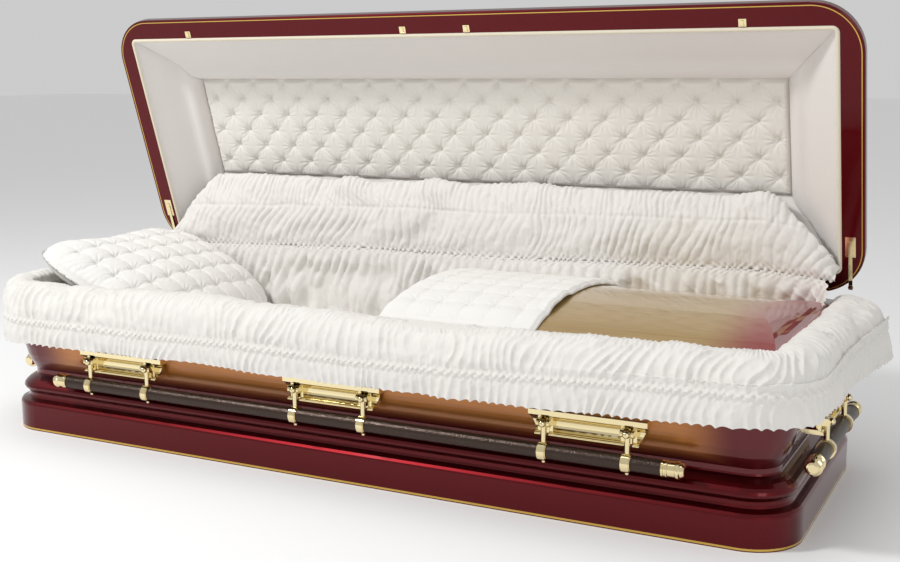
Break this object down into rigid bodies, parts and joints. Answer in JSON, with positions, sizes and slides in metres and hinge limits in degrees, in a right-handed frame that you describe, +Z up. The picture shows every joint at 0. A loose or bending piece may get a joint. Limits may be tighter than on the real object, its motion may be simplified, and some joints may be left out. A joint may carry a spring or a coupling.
{
  "type": "funeral casket",
  "caption": "Full-couch sheet-steel funeral casket with its lid open: shirred white cloth interior, tufted lid panel, quilted pillow and throw, arched foot panel and swing-bar handles.",
  "frame": {"origin": "middle of the underside of the base", "axes": "+X to the foot end, +Y to the hinge side, +Z up"},
  "size_m": [2.18, 0.8775, 1.0912],
  "materials": {
    "painted_steel": "gloss, dark candy maroon",
    "body_paint": "gloss, brushed copper-bronze shading to maroon",
    "foot_panel_paint": "gloss, brushed bronze shading to maroon at the foot",
    "bare_steel": "primed",
    "brass": "polished",
    "bar_finish": "hammered dark brown",
    "interior_cloth": "matt white crepe",
    "piping_cloth": "matt cream"
  },
  "bodies": {
    "casket": {"base_moulding": "painted_steel", "bottom_pan": "bare_steel", "body_shell": "body_paint", "bed_frame": "bare_steel", "mattress": "interior_cloth", "pillow": "interior_cloth", "body_lining": "interior_cloth", "front_skirt": "interior_cloth", "head_skirt": "interior_cloth", "foot_skirt": "interior_cloth", "rear_skirt": "interior_cloth", "foot_panel": "foot_panel_paint", "throw": "interior_cloth", "front_plate_head": "brass", "front_plate_middle": "brass", "front_plate_foot": "brass", "rear_plate_head": "brass", "rear_plate_middle": "brass", "rear_plate_foot": "brass", "head_plate": "brass", "foot_plate": "brass", "hinge_body_leaf_head": "brass", "hinge_body_leaf_foot": "brass"},
    "lid": {"hinge_lid_leaf_head": "brass", "hinge_lid_leaf_foot": "brass", "lid_shell": "painted_steel", "lid_cove_front": "interior_cloth", "lid_cove_rear": "interior_cloth", "lid_cove_head": "interior_cloth", "lid_cove_foot": "interior_cloth", "tufted_panel": "interior_cloth", "lid_piping": "piping_cloth", "lid_catches": "brass", "lid_stay_head": "brass", "lid_stay_foot": "brass"},
    "front_handle": {"front_bar": "bar_finish", "front_bar_tips": "brass", "front_arm_1": "brass", "front_arm_2": "brass", "front_arm_3": "brass", "front_arm_4": "brass", "front_arm_5": "brass", "front_arm_6": "brass"},
    "rear_handle": {"rear_bar": "bar_finish", "rear_bar_tips": "brass", "rear_arm_1": "brass", "rear_arm_2": "brass", "rear_arm_3": "brass", "rear_arm_4": "brass", "rear_arm_5": "brass", "rear_arm_6": "brass"},
    "head_handle": {"head_bar": "bar_finish", "head_bar_tips": "brass", "head_arm_1": "brass", "head_arm_2": "brass"},
    "foot_handle": {"foot_bar": "bar_finish", "foot_bar_tips": "brass", "foot_arm_1": "brass", "foot_arm_2": "brass"}
  },
  "joints": [
    {"name": "lid_hinge", "type": "hinge", "parent": "casket", "child": "lid", "pos_m": [0, 0.3655, 0.393], "axis": [1, 0, 0], "range_deg": [0, 72.6], "deforming": ["front_skirt", "head_skirt", "foot_skirt", "rear_skirt", "pillow"]},
    {"name": "front_handle_swing", "type": "hinge", "parent": "casket", "child": "front_handle", "pos_m": [0, -0.373, 0.215], "axis": [-1, 0, 0], "range_deg": [0, 82]},
    {"name": "rear_handle_swing", "type": "hinge", "parent": "casket", "child": "rear_handle", "pos_m": [0, 0.373, 0.215], "axis": [1, 0, 0], "range_deg": [0, 82]},
    {"name": "head_handle_swing", "type": "hinge", "parent": "casket", "child": "head_handle", "pos_m": [-1.063, 0, 0.215], "axis": [0, 1, 0], "range_deg": [0, 82]},
    {"name": "foot_handle_swing", "type": "hinge", "parent": "casket", "child": "foot_handle", "pos_m": [1.063, 0, 0.215], "axis": [0, -1, 0], "range_deg": [0, 82]}
  ]
}
